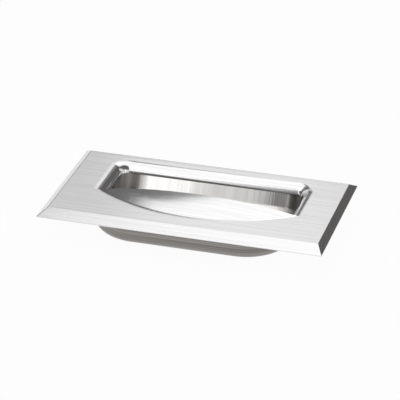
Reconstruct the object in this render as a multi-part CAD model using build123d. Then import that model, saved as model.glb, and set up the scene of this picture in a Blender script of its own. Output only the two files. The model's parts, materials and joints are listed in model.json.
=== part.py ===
from build123d import *
import os
from math import atan2, cos, degrees, radians, sin, tan

# Recessed pull handle: a pressed face plate with an arched finger lip, a drawn pan welded behind
# its opening, and two weld studs that hold the handle to a panel. All sizes are in millimetres.
# The origin lies on the panel face that the plate's rim seats on, midway between the studs.
# X runs along the plate, Y from the lip to the back of the opening, and Z out of the panel.

# Face plate
plate_length = 127.0
plate_width = 68.0
plate_height = 2.1       # panel face to the flat top
plate_sheet = 1.2
edge_land = 0.3          # upright edge all round the rim
end_bevel = 3.1          # run of the bevel at each end
back_bevel = 3.1
front_bevel = 6.9
bevel_bend = 1.0         # rounding where the flat turns into the bevels
plate_corner = 1.2       # rounding of the four mitred corners

# Opening
end_margin = 13.1        # flat strip between the opening's bend and each end bevel
back_margin = 3.8        # flat strip between the opening's bend and the back bevel
front_margin = 5.8       # flat strip between the middle of the lip's root and the front bevel
opening_corner = 3.0     # plan radius of the two back corners, at the end of the rolled edge
edge_roll = 5.5          # radius of the edge that is rolled down into the recess
roll_turn = 74.0         # degrees that the edge is rolled through

# Finger lip
lip_bow = 16.3           # how far the lip's root bows towards the front of the plate
lip_rise = 4.0           # height of the lip's edge above the flat, in its middle
lip_slope = 19.0         # degrees, steepest slope of the lip, past its crease; it flattens towards its edge
lip_crease = 8.0         # radius of the crease that the lip rises from

# Recess pan
pan_depth = 13.0         # flat top of the plate to the underside of the pan
pan_sheet = 0.9
pan_front_reach = 1.3    # how far the pan's front wall lies out beyond the plate's front bend
pan_front_corner = 22.0  # plan radius of the two front corners
pan_back_corner = 11.5   # radius of the two back corners
pan_back_slope = 30.0    # degrees that the pan's back wall leans away from upright
pan_floor_round = 5.0
pan_end_setback = 2.3    # from the end of the rolled edge out to the pan's end walls
pan_back_setback = 2.2   # from the end of the rolled edge out to the pan's back wall, at the roll's bottom
weld_gap = 0.1           # between the rolled edge and the pan behind and below it

# Weld studs
stud_diameter = 4.826
stud_length = 9.5
stud_margin = 7.4        # end of the flat to the stud's middle
stud_collar_diameter = 6.35
stud_collar_setback = 0.1  # from the panel face to the collar
stud_tip_chamfer = 0.6

top = plate_height
underside = top - plate_sheet
flat_half_length = plate_length / 2 - end_bevel
flat_front = front_bevel - plate_width / 2
flat_back = plate_width / 2 - back_bevel
half_opening = flat_half_length - end_margin
back_bend = flat_back - back_margin
lip_line = flat_front + front_margin + lip_bow
inner_roll = edge_roll - plate_sheet
roll_reach = edge_roll * sin(radians(roll_turn))  # opening's bend to the end of the rolled edge
roll_bottom = top - edge_roll + inner_roll * cos(radians(roll_turn))
root_radius = (half_opening**2 + lip_bow**2) / (2 * lip_bow)


def level_outline(height, depth):
    """Outline, at one height, of the bevelled form that lies the given depth beneath the outer skin."""

    def reach(run):
        angle = atan2(top - edge_land, run)
        return (top - height) / tan(angle) - depth / sin(angle)

    front = flat_front - reach(front_bevel)
    back = flat_back + reach(back_bevel)
    length = 2 * (flat_half_length + reach(end_bevel))
    return Pos(0, (front + back) / 2, height) * Rectangle(length, back - front)


def bevelled_form(low, high, depth):
    """Closed form between two heights, with the bevels of the plate as its four sides."""
    return loft([level_outline(low, depth), level_outline(high, depth)], ruled=True)


def make_bevelled_sheet():
    """The plate's sheet before it is pierced: flat top, four bevels and the rim that seats on the panel."""
    skin = bevelled_form(edge_land, top, 0)
    mitres = skin.edges().filter_by(lambda edge: abs(edge.tangent_at(0).Z) > 0.01)
    skin = fillet(mitres, plate_corner)
    skin = fillet(skin.faces().sort_by(Axis.Z)[-1].edges(), bevel_bend)
    rim = extrude(skin.faces().sort_by(Axis.Z)[0], edge_land, dir=(0, 0, -1))
    return skin + rim - bevelled_form(0, underside, plate_sheet)


def opening_path(front):
    """The bend round the two ends and the back of the opening, in the plane of the flat top."""
    points = [
        (-half_opening, front, top),
        (-half_opening, back_bend, top),
        (half_opening, back_bend, top),
        (half_opening, front, top),
    ]
    return FilletPolyline(*points, radius=opening_corner + roll_reach)


def rolled_form(inner, outer, turn, front):
    """Form rolled down round the opening's ends and back: between two radii, through a turn in degrees."""
    axis = Vector(-half_opening, front, top - edge_roll)

    def rolled(radius):
        angles = [radians(turn) * share for share in (0, 0.5, 1)]
        return ThreePointArc(*[axis + (radius * sin(angle), 0, radius * cos(angle)) for angle in angles])

    upper = rolled(outer)
    lower = rolled(inner)
    section = make_face(
        [*upper.edges(), Line(upper @ 1, lower @ 1), *lower.edges(), Line(lower @ 0, upper @ 0)]
    )
    return sweep(section, path=opening_path(front))


def lip_lens():
    """Plan of the lip: the lens between its root arc and its straight edge."""
    root = ThreePointArc(
        (-half_opening, lip_line, top),
        (0, lip_line - lip_bow, top),
        (half_opening, lip_line, top),
    )
    return make_face([*root.edges(), Line(root @ 1, root @ 0)])


def make_lip():
    """The raised lip: a bowed sheet turned about the middle of its root arc and cut off straight."""
    slope = radians(lip_slope)
    root = Vector(0, lip_line - lip_bow, top)
    steepest = root + (0, lip_crease * sin(slope), lip_crease * (1 - cos(slope)))
    edge = Vector(0, lip_line, top + lip_rise)
    crease = TangentArc(root, steepest, tangent=(0, 1, 0))
    bow = TangentArc(steepest, edge, tangent=crease % 1)
    spare = Line(edge, edge + (bow % 1) * plate_sheet)
    sheet = Vector(0, 0, -plate_sheet)
    upper = [*crease.edges(), *bow.edges(), *spare.edges()]
    lower = [line.moved(Pos(sheet)) for line in upper]
    ends = [Line(point, point + sheet) for point in (root, spare @ 1)]
    section = make_face([*upper, *lower, *ends])
    middle = Axis((0, root.Y + root_radius, top), (0, 0, 1))
    ring = revolve(section.rotate(middle, -90), middle, 180)
    return split(ring, Plane((0, lip_line, top), z_dir=(0, -1, 0)), keep=Keep.TOP)


def make_face_plate():
    """One pressed sheet: bevelled plate, rolled opening and raised lip."""
    path = opening_path(lip_line)
    roll = rolled_form(inner_roll, edge_roll, roll_turn, lip_line)
    window = make_face([*path.edges(), Line(path @ 1, path @ 0)])
    pierced = Pos(0, 0, -plate_sheet) * extrude(window + lip_lens(), 2 * plate_sheet)
    return make_bevelled_sheet() - pierced + roll + make_lip()


def pan_form(inset):
    """Closed form of the pan, moved in by the given amount: upright front and ends, leaning back wall."""
    lean = radians(pan_back_slope)
    half_length = half_opening - roll_reach + pan_end_setback + pan_sheet - inset
    front = flat_front - pan_front_reach + inset
    floor = top - pan_depth + inset
    back = back_bend - roll_reach + pan_back_setback + (pan_sheet - inset) / cos(lean)
    back_at_floor = back + (floor - roll_bottom) * tan(lean)
    back_at_top = back + (underside - roll_bottom) * tan(lean)
    profile = Polyline(
        (-half_length, front, floor),
        (-half_length, back_at_floor, floor),
        (-half_length, back_at_top, underside),
        (-half_length, front, underside),
        close=True,
    )
    form = extrude(make_face(profile.edges()), 2 * half_length, dir=(1, 0, 0))
    form = fillet(form.edges().filter_by(Axis.Z), pan_front_corner - inset)
    leaning = form.edges().filter_by(Plane.YZ).filter_by(lambda edge: abs(edge.tangent_at(0).Z) > sin(lean))
    form = fillet(leaning, pan_back_corner - inset)
    return fillet(form.faces().sort_by(Axis.Z)[0].edges(), pan_floor_round - inset)


def make_recess_pan():
    """Drawn cup with a rounded floor; its rim is cut to fit behind and below the plate's rolled edge."""
    cup = (pan_form(0) - pan_form(pan_sheet)) & bevelled_form(top - pan_depth, underside, plate_sheet)
    spare_turn = degrees(weld_gap / inner_roll)
    room = rolled_form(
        inner_roll - weld_gap,
        opening_corner + roll_reach,
        roll_turn + spare_turn,
        lip_line - weld_gap,
    )
    return cup - room


def make_weld_stud():
    """Threaded stud, drawn at its thread's outer diameter, with the collar that is welded to the plate."""
    stud = Cylinder(stud_diameter / 2, stud_length, align=(Align.CENTER, Align.CENTER, Align.MAX))
    stud = chamfer(stud.edges().sort_by(Axis.Z)[0], stud_tip_chamfer)
    collar = Cylinder(
        stud_collar_diameter / 2,
        underside - stud_collar_setback,
        align=(Align.CENTER, Align.CENTER, Align.MAX),
    )
    return stud + collar


def make_weld_studs():
    """The two studs, on the plate's middle line, one near each end."""
    place = flat_half_length - stud_margin
    return Compound([Pos(side * place, 0, underside) * make_weld_stud() for side in (-1, 1)])


os.makedirs("parts", exist_ok=True)
export_step(make_face_plate(), "parts/face_plate.step")
export_step(make_recess_pan(), "parts/recess_pan.step")
export_step(make_weld_studs(), "parts/weld_studs.step")
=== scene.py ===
import json
from math import ceil, cos, pi, radians, sin

import bmesh
import bpy
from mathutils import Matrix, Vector


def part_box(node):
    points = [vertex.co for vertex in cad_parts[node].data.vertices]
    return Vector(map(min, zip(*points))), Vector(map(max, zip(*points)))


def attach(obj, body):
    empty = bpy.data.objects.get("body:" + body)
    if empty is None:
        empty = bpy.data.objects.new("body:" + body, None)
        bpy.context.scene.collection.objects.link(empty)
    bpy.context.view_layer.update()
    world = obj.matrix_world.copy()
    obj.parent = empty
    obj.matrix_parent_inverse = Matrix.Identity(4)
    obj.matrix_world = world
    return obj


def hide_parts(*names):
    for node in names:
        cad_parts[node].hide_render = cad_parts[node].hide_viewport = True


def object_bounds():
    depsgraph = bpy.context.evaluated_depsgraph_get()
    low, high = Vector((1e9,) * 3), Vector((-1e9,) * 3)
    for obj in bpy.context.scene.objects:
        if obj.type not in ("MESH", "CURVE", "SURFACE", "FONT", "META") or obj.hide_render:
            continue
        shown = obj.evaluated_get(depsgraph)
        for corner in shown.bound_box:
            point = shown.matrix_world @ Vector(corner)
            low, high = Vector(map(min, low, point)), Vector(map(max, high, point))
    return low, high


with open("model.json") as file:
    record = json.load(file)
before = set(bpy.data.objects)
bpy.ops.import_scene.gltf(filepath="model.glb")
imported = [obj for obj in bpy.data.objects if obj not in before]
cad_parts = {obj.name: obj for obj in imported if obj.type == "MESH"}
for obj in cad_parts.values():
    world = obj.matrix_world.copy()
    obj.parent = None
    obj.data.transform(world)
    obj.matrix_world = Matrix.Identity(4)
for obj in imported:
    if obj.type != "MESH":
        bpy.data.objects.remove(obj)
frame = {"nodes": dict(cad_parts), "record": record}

cad_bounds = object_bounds()

# All lengths are in metres, in the handle's own frame.

# Camera
camera_azimuth = radians(16.39)
camera_elevation = radians(27.14)
camera_distance = 1.0044
camera_target = Vector((0.0, 0.0019, 0.0021))
camera_lens = 205.9      # millimetres
camera_shift = (-0.0005, -0.01175)

# Sheet metal
smooth_limit = radians(24)  # edges that turn by more stay sharp
merge_distance = 1e-7

# Weld studs
studs = next(mount for mount in frame["record"]["mounts"] if mount["name"] == "studs")["dims"]
stud_spacing = studs["spacing_x_mm"] / 1000
stud_radius = studs["stud_r_mm"] / 1000
threads_per_inch = 32
thread_pitch = 0.0254 / threads_per_inch
thread_depth = 0.6134 * thread_pitch
root_flat = 1 / 4        # share of the pitch
crest_flat = 1 / 8       # share of the pitch
thread_steps = 40
tip_chamfer = 0.0006
collar_low = 0.0001
collar_segments = 64
collar_bevel = 0.00015
collar_bevel_steps = 3

# Finishes: a stroke's size is its length along X, Y and Z, and tones go from dark to light; the pan also
# gets painted shade
noise_range = (0.3, 0.7)  # middle of the noise's range, which tones and roughness are spread over
fine_detail = 3.0
band_detail = 2.0
band_scale = 8           # broad bands against the fine strokes
sheet_relief = 0.000003

plate_strokes = (0.008, 0.00012, 0.00012)
plate_tones = ((0.70, 0.70, 0.71), (0.78, 0.78, 0.79))
plate_roughness = (0.13, 0.20)
plate_anisotropy = 0.5

draw_lines = (0.0006, 0.04, 0.04)
pan_brushing = (0.012, 0.012, 0.00007)
pan_tones = ((0.56, 0.55, 0.54), (0.64, 0.63, 0.62))
pan_roughness = (0.06, 0.12)
painted_shade_tones = ((0.31, 0.298, 0.285), (0.48, 0.465, 0.445))  # painted shade, multiplied into the colour in the inside's corners and on the whole outside
extra_roughness = 0.24    # added where the shade is painted
painted_shade_range = (0.030, 0.036)  # out from the middle: where the painted shade in the inside's corners starts, and where it is full

stud_strokes = (0.002, 0.002, 0.00005)
stud_tones = ((0.58, 0.57, 0.55), (0.70, 0.69, 0.67))
stud_roughness = (0.25, 0.40)
stud_relief = 0.000002

# Studio
table_radius = 3.0
table_segments = 96
table_paper = (0.9, 0.9, 0.9)
table_glow = 0.95
backdrop_height = 0.35
surround_tone = (0.13, 0.126, 0.122)
softbox_height = 0.6
front_distance = 0.40
card_height = 0.36
back_distance = 0.55
back_height = 0.412
fill_distance = 1.5
fill_radiance = 0.75


def link(obj):
    """Puts a new object into the scene."""
    bpy.context.scene.collection.objects.link(obj)
    return obj


def new_material(name):
    """An empty node material and its node tree."""
    material = bpy.data.materials.new(name)
    material.use_nodes = True
    material.node_tree.nodes.clear()
    return material, material.node_tree


def add_node(tree, kind, **settings):
    """Adds a node and sets its properties."""
    node = tree.nodes.new(kind)
    for key, value in settings.items():
        setattr(node, key, value)
    return node


def add_math(tree, operation, first, second, clamp=False):
    """Adds a calculation of a socket with a second socket or a number."""
    node = add_node(tree, "ShaderNodeMath", operation=operation, use_clamp=clamp)
    tree.links.new(first, node.inputs[0])
    if isinstance(second, bpy.types.NodeSocket):
        tree.links.new(second, node.inputs[1])
    else:
        node.inputs[1].default_value = second
    return node.outputs["Value"]


def object_coordinates(tree):
    """Places on a piece, in the handle's own frame."""
    return add_node(tree, "ShaderNodeTexCoord").outputs["Object"]


def feeder(socket):
    """The output that feeds an input."""
    return socket.links[0].from_socket


def grain(tree, coordinates, size, detail):
    """Noise drawn out into strokes of the given size."""
    mapping = add_node(tree, "ShaderNodeMapping")
    mapping.inputs["Scale"].default_value = [1 / length for length in size]
    noise = add_node(tree, "ShaderNodeTexNoise")
    noise.inputs["Scale"].default_value = 1.0
    noise.inputs["Detail"].default_value = detail
    tree.links.new(coordinates, mapping.inputs["Vector"])
    tree.links.new(mapping.outputs["Vector"], noise.inputs["Vector"])
    return noise.outputs["Fac"]


def strokes(tree, coordinates, size):
    """Fine strokes of the given size, and broader bands in the same direction."""
    fine = grain(tree, coordinates, size, fine_detail)
    broad = grain(tree, coordinates, [band_scale * length for length in size], band_detail)
    return fine, broad


def spread(tree, value, to_range=(0.0, 1.0), from_range=noise_range):
    """Maps a value from one range onto another."""
    span = add_node(tree, "ShaderNodeMapRange")
    for side, ends in (("From", from_range), ("To", to_range)):
        span.inputs[side + " Min"].default_value, span.inputs[side + " Max"].default_value = ends
    tree.links.new(value, span.inputs["Value"])
    return span.outputs["Result"]


def blend(tree, factor, first, second):
    """Goes from one value to another as a factor goes from 0 to 1."""
    mix = add_node(tree, "ShaderNodeMix")
    tree.links.new(factor, mix.inputs["Factor"])
    tree.links.new(first, mix.inputs["A"])
    tree.links.new(second, mix.inputs["B"])
    return mix.outputs["Result"]


def mix_tones(tree, broad, tones):
    """Colour that goes from the dark tone to the light one with the broad bands."""
    mix = add_node(tree, "ShaderNodeMix", data_type="RGBA")
    for name, tone in zip("AB", tones):
        mix.inputs[name].default_value = (*tone, 1.0)
    tree.links.new(spread(tree, broad), mix.inputs["Factor"])
    return mix.outputs["Result"]


def steel_shader(tree, fine, broad, tones, roughness, relief):
    """Bare steel: broad bands vary its colour, fine strokes its roughness and relief."""
    steel = add_node(tree, "ShaderNodeBsdfPrincipled")
    steel.inputs["Metallic"].default_value = 1.0
    tree.links.new(mix_tones(tree, broad, tones), steel.inputs["Base Color"])
    tree.links.new(spread(tree, fine, roughness), steel.inputs["Roughness"])
    bump = add_node(tree, "ShaderNodeBump")
    bump.inputs["Distance"].default_value = relief
    tree.links.new(fine, bump.inputs["Height"])
    tree.links.new(bump.outputs["Normal"], steel.inputs["Normal"])
    output = add_node(tree, "ShaderNodeOutputMaterial")
    tree.links.new(steel.outputs["BSDF"], output.inputs["Surface"])
    return steel.inputs


def brush_along(tree, steel):
    """Draws highlights out across the brushing, which runs along the plate."""
    tangent = add_node(tree, "ShaderNodeTangent", direction_type="UV_MAP", uv_map="brushing")
    tree.links.new(tangent.outputs["Tangent"], steel["Tangent"])
    steel["Anisotropic"].default_value = plate_anisotropy


def towards_ends(tree, coordinates):
    """Share that goes from 0 to 1 over the painted shade range, out from the middle to both ends."""
    place = add_node(tree, "ShaderNodeSeparateXYZ")
    tree.links.new(coordinates, place.inputs["Vector"])
    sideways = add_node(tree, "ShaderNodeMath", operation="ABSOLUTE")
    tree.links.new(place.outputs["X"], sideways.inputs[0])
    return spread(tree, sideways.outputs["Value"], from_range=painted_shade_range)


def paint_shade_and_roughen(tree, steel, shade_and_rough_share, broad):
    """Paints shade into a steel's colour and roughens it where the share of painted shade is high."""
    shade = add_node(tree, "ShaderNodeMix", data_type="RGBA", blend_type="MULTIPLY")
    tree.links.new(shade_and_rough_share, shade.inputs["Factor"])
    tree.links.new(feeder(steel["Base Color"]), shade.inputs["A"])
    # painted shade: darker tones, varied in broad bands, multiply the colour
    tree.links.new(mix_tones(tree, broad, painted_shade_tones), shade.inputs["B"])
    tree.links.new(shade.outputs["Result"], steel["Base Color"])
    added = add_math(tree, "MULTIPLY", shade_and_rough_share, extra_roughness)
    rougher = add_math(tree, "ADD", feeder(steel["Roughness"]), added)
    tree.links.new(rougher, steel["Roughness"])


def plate_steel():
    """Sheet brushed along the plate."""
    material, tree = new_material("brushed plate steel")
    fine, broad = strokes(tree, object_coordinates(tree), plate_strokes)
    steel = steel_shader(tree, fine, broad, plate_tones, plate_roughness, sheet_relief)
    brush_along(tree, steel)
    return material


def pan_steel():
    """Drawn sheet: bright inside with upright draw lines and brushed outside, rougher in the inside's
    corners and on the outside, with shade painted into the colour there.
    """
    material, tree = new_material("drawn pan steel")
    coordinates = object_coordinates(tree)
    outside = add_node(tree, "ShaderNodeAttribute", attribute_name="outside").outputs["Fac"]
    lines = strokes(tree, coordinates, draw_lines)
    brushing = strokes(tree, coordinates, pan_brushing)
    fine, broad = [blend(tree, outside, *pair) for pair in zip(lines, brushing)]
    steel = steel_shader(tree, fine, broad, pan_tones, pan_roughness, sheet_relief)
    # painted shade: darker colour in the inside's corners and over the whole outside, which also get
    # rougher
    shade_and_rough_share = add_math(tree, "MAXIMUM", outside, towards_ends(tree, coordinates))
    paint_shade_and_roughen(tree, steel, shade_and_rough_share, broad)
    return material


def stud_steel():
    """Machined steel with fine turning marks round the stud."""
    material, tree = new_material("turned stud steel")
    fine, broad = strokes(tree, object_coordinates(tree), stud_strokes)
    steel_shader(tree, fine, broad, stud_tones, stud_roughness, stud_relief)
    return material


def finish_piece(name, bm, node, material):
    """Makes the object of a finished mesh, which stands for one CAD node."""
    for edge in bm.edges:
        edge.smooth = edge.calc_face_angle() < smooth_limit
    for face in bm.faces:
        face.smooth = True
        face.material_index = 0
    mesh = bpy.data.meshes.new(name)
    bm.to_mesh(mesh)
    bm.free()
    mesh.materials.append(material)
    piece = link(bpy.data.objects.new(name, mesh))
    weighting = piece.modifiers.new("flat faces stay flat", "WEIGHTED_NORMAL")
    weighting.keep_sharp = True
    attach(piece, "root")
    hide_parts(node)


def make_sheet(name, node, material):
    """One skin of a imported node's sheet, with its outer faces marked and a map for brushing along X."""
    bm = bmesh.new()
    bm.from_mesh(frame["nodes"][node].data)
    bmesh.ops.remove_doubles(bm, verts=bm.verts, dist=merge_distance)
    brushing = bm.loops.layers.uv.new("brushing")
    outside = bm.faces.layers.float.new("outside")
    low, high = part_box(node)
    mouth = Vector((0, (low[1] + high[1]) / 2, high[2]))
    for face in bm.faces:
        face[outside] = float(face.normal.dot(face.calc_center_median() - mouth) > 0)
        for loop in face.loops:
            place = loop.vert.co
            loop[brushing].uv = (place.x, place.y + place.z)
    finish_piece(name, bm, node, material)


def add_thread(bm, low, high):
    """One stud's thread between two heights: a tooth that winds up round the stud, with a chamfered tip."""
    root = stud_radius - thread_depth
    start = low - thread_pitch
    turns = ceil((high - start) / thread_pitch) + 1
    tooth = [
        (root, 0),
        (root, root_flat / 2),
        (stud_radius, (1 - crest_flat) / 2),
        (stud_radius, (1 + crest_flat) / 2),
        (root, 1 - root_flat / 2),
        (root, 1),
    ]
    verts = [bm.verts.new((radius, 0, start + share * thread_pitch)) for radius, share in tooth]
    edges = [bm.edges.new(pair) for pair in zip(verts, verts[1:])]
    bmesh.ops.spin(
        bm,
        geom=verts + edges,
        axis=(0, 0, 1),
        dvec=(0, 0, thread_pitch / thread_steps),
        angle=2 * pi * turns,
        steps=thread_steps * turns,
    )
    bmesh.ops.remove_doubles(bm, verts=bm.verts, dist=merge_distance)
    bmesh.ops.recalc_face_normals(bm, faces=bm.faces)
    for height, side in ((low, "clear_inner"), (high, "clear_outer")):
        everything = bm.verts[:] + bm.edges[:] + bm.faces[:]
        cut = {"plane_co": (0, 0, height), "plane_no": (0, 0, 1), side: True}
        bmesh.ops.bisect_plane(bm, geom=everything, **cut)
    bmesh.ops.holes_fill(bm, edges=[edge for edge in bm.edges if edge.is_boundary])
    for vert in bm.verts:
        reach = stud_radius - tip_chamfer + vert.co.z - low
        vert.co.xy *= min(1, reach / vert.co.xy.length)


def add_collar(bm, low, high, radius):
    """The collar at a stud's head, with its lower edge broken."""
    middle = (low + high) / 2
    ring = bmesh.ops.create_cone(
        bm,
        cap_ends=True,
        segments=collar_segments,
        radius1=radius,
        radius2=radius,
        depth=high - low,
    )["verts"]
    bmesh.ops.translate(bm, verts=ring, vec=(0, 0, middle))
    lower = {edge for vert in ring if vert.co.z < middle for edge in vert.link_edges}
    bmesh.ops.bevel(
        bm,
        geom=[edge for edge in lower if edge.verts[0].co.z == edge.verts[1].co.z],
        offset=collar_bevel,
        affect="EDGES",
        segments=collar_bevel_steps,
        profile=0.5,
        material=-1,
    )


def make_studs(material):
    """Both weld studs, threaded up to their collars."""
    low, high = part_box("weld_studs")
    bm = bmesh.new()
    add_thread(bm, low[2], (collar_low + high[2]) / 2)
    add_collar(bm, collar_low, high[2], high[0] - stud_spacing / 2)
    first = bm.verts[:] + bm.edges[:] + bm.faces[:]
    second = bmesh.ops.duplicate(bm, geom=first)["geom"]
    for half, side in ((first, -1), (second, 1)):
        verts = [item for item in half if isinstance(item, bmesh.types.BMVert)]
        bmesh.ops.translate(bm, verts=verts, vec=(side * stud_spacing / 2, 0, 0))
    finish_piece("threaded_studs", bm, "weld_studs", material)


def white_table_finish():
    """White paper that the camera and the metal see as almost evenly bright, with a faint shadow left."""
    material, tree = new_material("white table")
    output = add_node(tree, "ShaderNodeOutputMaterial")
    paper = add_node(tree, "ShaderNodeBsdfDiffuse")
    paper.inputs["Color"].default_value = (*table_paper, 1.0)
    glow = add_node(tree, "ShaderNodeEmission")
    path = add_node(tree, "ShaderNodeLightPath").outputs
    seen = add_math(tree, "ADD", path["Is Camera Ray"], path["Is Glossy Ray"])
    seen = add_math(tree, "ADD", seen, path["Is Transmission Ray"], clamp=True)
    mix = add_node(tree, "ShaderNodeMixShader")
    tree.links.new(add_math(tree, "MULTIPLY", seen, table_glow), mix.inputs["Fac"])
    tree.links.new(paper.outputs["BSDF"], mix.inputs[1])
    tree.links.new(glow.outputs["Emission"], mix.inputs[2])
    tree.links.new(mix.outputs["Shader"], output.inputs["Surface"])
    return material


def make_table():
    """Round white table that the pan rests on, with a low upturned edge as the backdrop."""
    bm = bmesh.new()
    bmesh.ops.create_circle(bm, cap_ends=True, radius=table_radius, segments=table_segments)
    rim = [edge for edge in bm.edges if edge.is_boundary]
    raised = bmesh.ops.extrude_edge_only(bm, edges=rim)["geom"]
    edge_verts = [item for item in raised if isinstance(item, bmesh.types.BMVert)]
    bmesh.ops.translate(bm, verts=edge_verts, vec=(0, 0, backdrop_height))
    bmesh.ops.translate(bm, verts=bm.verts, vec=(0, 0, cad_bounds[0][2]))
    mesh = bpy.data.meshes.new("table_top")
    bm.to_mesh(mesh)
    bm.free()
    mesh.materials.append(white_table_finish())
    link(bpy.data.objects.new("table_top", mesh))


def aim(obj, place, target):
    """Sets an object at a place and turns its front towards a target."""
    obj.location = place
    obj.rotation_euler = (Vector(target) - Vector(place)).to_track_quat("-Z", "Y").to_euler()


def panel_lamp(name, place, target, width, depth, radiance, turn=0):
    """Rectangular soft light with an even brightness over its face, turned about its own axis."""
    lamp = bpy.data.lights.new(name, "AREA")
    lamp.shape = "RECTANGLE"
    lamp.size = width
    lamp.size_y = depth
    lamp.energy = radiance * pi * width * depth
    lamp_object = link(bpy.data.objects.new(name, lamp))
    aim(lamp_object, place, target)
    lamp_object.rotation_euler.rotate_axis("Z", turn)


def overhead_lamp(name, x, y, width, depth, radiance, turn=0):
    """Lamp that shines straight down."""
    panel_lamp(name, (x, y, softbox_height), (x, y, 0), width, depth, radiance, turn)


def upright_card(name, x, y, height, width, depth, radiance):
    """Upright card before or behind the handle, which shines along Y."""
    panel_lamp(name, (x, y, height), (x, 0, height), width, depth, radiance)


def fill_card(name, azimuth, height, width, depth):
    """Large upright card further off, turned towards the handle's middle."""
    place = (fill_distance * sin(azimuth), fill_distance * cos(azimuth), height)
    panel_lamp(name, place, (0, 0, height), width, depth, fill_radiance)


def make_lights():
    """Cards that the metal reflects in the main view, then fills that it reflects in the other views."""
    overhead_lamp("overhead softbox", -0.155, 0.03, width=0.53, depth=1.25, radiance=1.2, turn=radians(-32))
    overhead_lamp("bevel card", -0.28, 0.32, width=0.08, depth=0.10, radiance=1.15)
    for name, x, width, radiance in (
        ("front card", -0.1785, 0.075, 1.6),
        ("front dim card", -0.1145, 0.053, 0.9),
    ):
        upright_card(name, x, -front_distance, card_height, width, depth=0.40, radiance=radiance)
    for name, x, width, radiance in (
        ("back card", -0.11375, 0.2025, 0.93),
        ("back left card", -0.2875, 0.145, 0.67),
    ):
        upright_card(name, x, back_distance, back_height, width, depth=0.355, radiance=radiance)
    panel_lamp("side card", (0.65, -0.465, 0.45), (0, 0, 0.45), width=0.12, depth=0.50, radiance=1.3)
    upright_card("dim card", 0.06, back_distance, card_height, width=0.10, depth=0.30, radiance=0.15)
    fill_card("left fill", radians(-66), height=0.62, width=1.6, depth=0.76)
    fill_card("right fill", radians(74), height=0.60, width=2.2, depth=0.90)
    fill_card("front fill", radians(150), height=0.60, width=2.1, depth=0.90)
    fill_card("near left fill", radians(-139), height=0.40, width=0.42, depth=0.30)


def make_surround():
    """Dim grey surround."""
    world = bpy.data.worlds.new("studio")
    bpy.context.scene.world = world
    world.use_nodes = True
    world.node_tree.nodes["Background"].inputs["Color"].default_value = (*surround_tone, 1.0)


def make_camera():
    """Camera at the main view."""
    camera = bpy.data.cameras.new("camera")
    camera.lens = camera_lens
    camera.shift_x, camera.shift_y = camera_shift
    camera_object = link(bpy.data.objects.new("camera", camera))
    towards_camera = Vector(
        (
            sin(camera_azimuth) * cos(camera_elevation),
            -cos(camera_azimuth) * cos(camera_elevation),
            sin(camera_elevation),
        )
    )
    aim(camera_object, camera_target + camera_distance * towards_camera, camera_target)
    bpy.context.scene.camera = camera_object


make_sheet("plate_sheet", "face_plate", plate_steel())
make_sheet("pan_sheet", "recess_pan", pan_steel())
make_studs(stud_steel())
make_table()
make_lights()
make_surround()
make_camera()
bpy.context.scene.view_settings.view_transform = "Standard"
